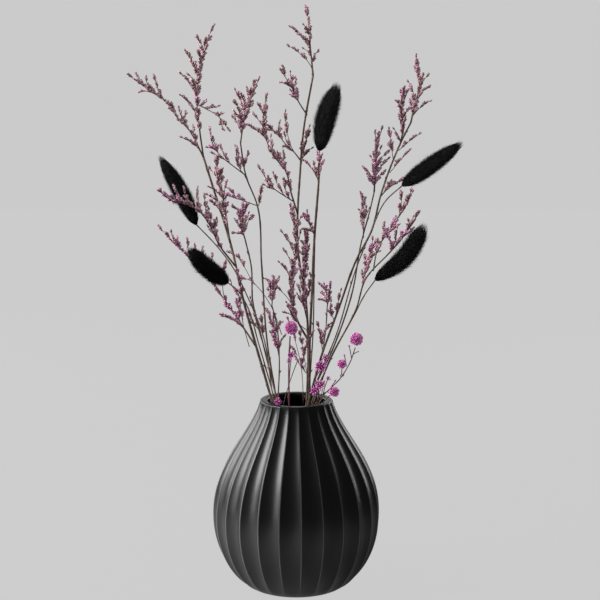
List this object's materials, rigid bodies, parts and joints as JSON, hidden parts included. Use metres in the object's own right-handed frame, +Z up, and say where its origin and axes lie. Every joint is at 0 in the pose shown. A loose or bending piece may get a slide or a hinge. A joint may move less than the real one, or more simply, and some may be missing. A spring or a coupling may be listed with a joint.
{
  "type": "bunny tail grass in ceramic vase",
  "caption": "Dried arrangement of dark bunny tail grass, mauve statice and magenta globe blooms, standing in a round fluted black ceramic vase.",
  "frame": {"origin": "the middle of the vase's flat foot, on the surface that it stands on", "axes": "+Z up along the vase's axis, +X to the viewer's right, -Y towards the viewer"},
  "size_m": [0.2684, 0.1398, 0.4791],
  "materials": {
    "vase_glaze": "satin black glaze with fine speckle",
    "tail_fur": "black-dyed soft fur of grass hairs",
    "grass_stem": "matt dry straw, dyed dark brown",
    "statice_stem": "matt dry brown stem, finely ridged",
    "statice_bloom": "papery dusty mauve florets",
    "globe_bloom": "papery magenta bracts"
  },
  "bodies": {
    "root": {"globe_1_bloom": "globe_bloom", "globe_1_stem": "grass_stem", "globe_2_bloom_low": "globe_bloom", "globe_2_bloom_mid": "globe_bloom", "globe_2_bloom_top": "globe_bloom", "globe_2_stem": "grass_stem", "statice_10_crown": "statice_bloom", "statice_10_side_twig": "statice_bloom", "statice_10_stem": "statice_stem", "statice_1_droop_twig": "statice_bloom", "statice_1_left_arm": "statice_bloom", "statice_1_low_side": "statice_bloom", "statice_1_right_arm": "statice_bloom", "statice_1_shoot": "statice_bloom", "statice_1_side": "statice_bloom", "statice_1_stem": "statice_stem", "statice_2_crown": "statice_bloom", "statice_2_left_twig": "statice_bloom", "statice_2_low_twig": "statice_bloom", "statice_2_stem": "statice_stem", "statice_3_crown": "statice_bloom", "statice_3_stem": "statice_stem", "statice_4_crown": "statice_bloom", "statice_4_inner": "statice_bloom", "statice_4_left_arm": "statice_bloom", "statice_4_left_low": "statice_bloom", "statice_4_left_twig": "statice_bloom", "statice_4_mid_twig": "statice_bloom", "statice_4_right_twig": "statice_bloom", "statice_4_side": "statice_bloom", "statice_4_stem": "statice_stem", "statice_5_crown": "statice_bloom", "statice_5_side_twig": "statice_bloom", "statice_5_stem": "statice_stem", "statice_6_crown": "statice_bloom", "statice_6_left_crown": "statice_bloom", "statice_6_low_twig": "statice_bloom", "statice_6_stem": "statice_stem", "statice_7_crown": "statice_bloom", "statice_7_low_twig": "statice_bloom", "statice_7_stem": "statice_stem", "statice_8_crown": "statice_bloom", "statice_8_left_arm": "statice_bloom", "statice_8_low_twig": "statice_bloom", "statice_8_stem": "statice_stem", "statice_9_crown": "statice_bloom", "statice_9_stem": "statice_stem", "tail_1_head": "tail_fur", "tail_1_stem": "grass_stem", "tail_2_head": "tail_fur", "tail_2_stem": "grass_stem", "tail_3_head": "tail_fur", "tail_3_stem": "grass_stem", "tail_4_head": "tail_fur", "tail_4_stem": "grass_stem", "tail_5_head": "tail_fur", "tail_5_stem": "grass_stem", "vase_body": "vase_glaze"}
  },
  "joints": []
}
